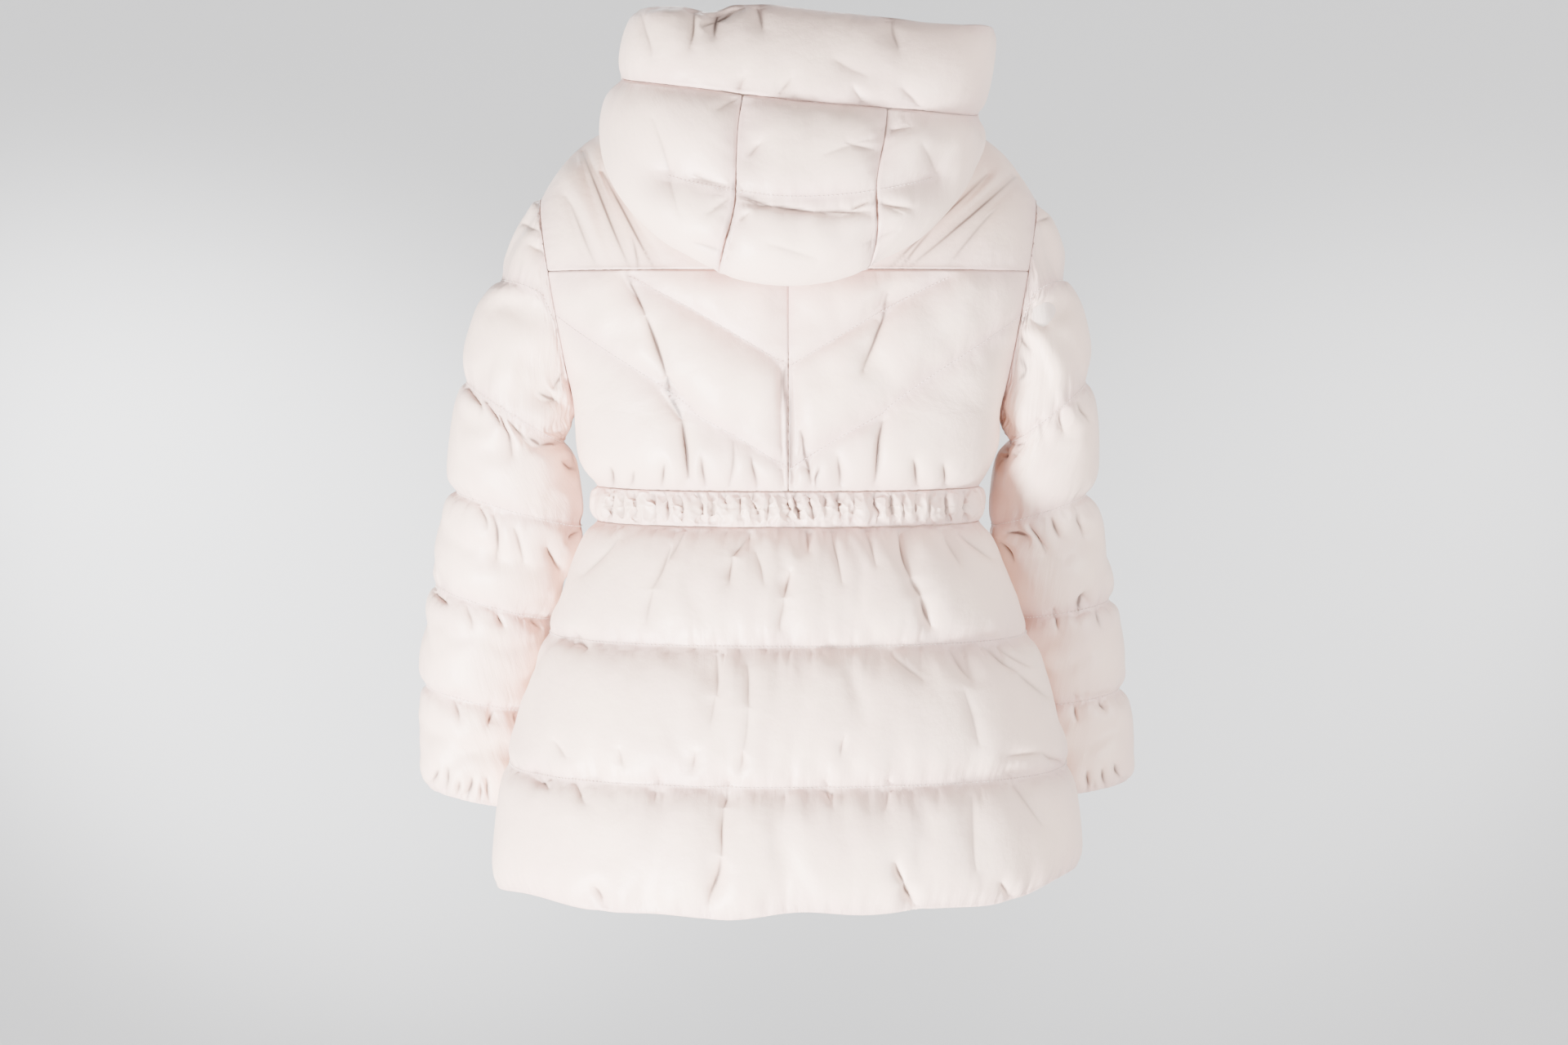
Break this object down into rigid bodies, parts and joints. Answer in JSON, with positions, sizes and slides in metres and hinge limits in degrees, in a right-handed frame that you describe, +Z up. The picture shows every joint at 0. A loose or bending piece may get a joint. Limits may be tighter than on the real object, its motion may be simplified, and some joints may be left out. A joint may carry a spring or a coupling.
{
  "type": "down jacket",
  "caption": "Hip-length padded jacket in its worn hollow form: folded-down hood with a brim band, chevron back, gathered elastic waistband, flared skirt.",
  "frame": {"origin": "middle of the wearer's shoulders, between the armholes and level with the nape, where the wearer holds the jacket up", "axes": "+Z up; the front with its zip faces -Y and the back +Y; the wearer's left is +X"},
  "size_m": [0.7149, 0.4454, 0.8181],
  "materials": {
    "shell": "satin woven nylon, pale ivory pink",
    "zip_tape": "matt woven tape",
    "zip_metal": "satin"
  },
  "bodies": {
    "jacket": {"back_yoke": "shell", "upper_back_left": "shell", "upper_back_right": "shell", "front_upper_left": "shell", "front_upper_right": "shell", "waistband_back": "shell", "waistband_front_left": "shell", "waistband_front_right": "shell", "skirt_back": "shell", "skirt_front_left": "shell", "skirt_front_right": "shell", "sleeve_left": "shell", "sleeve_right": "shell", "hood_center": "shell", "hood_side_left": "shell", "hood_side_right": "shell", "hood_brim": "shell", "zip_tapes": "zip_tape", "zip_slider": "zip_metal"},
    "pull_tab": {"zip_pull": "zip_metal"}
  },
  "joints": [
    {"name": "pull_swing", "type": "hinge", "parent": "jacket", "child": "pull_tab", "pos_m": [0, -0.1123, 0.0617], "axis": [-1, 0, 0], "range_deg": [0, 150]}
  ]
}
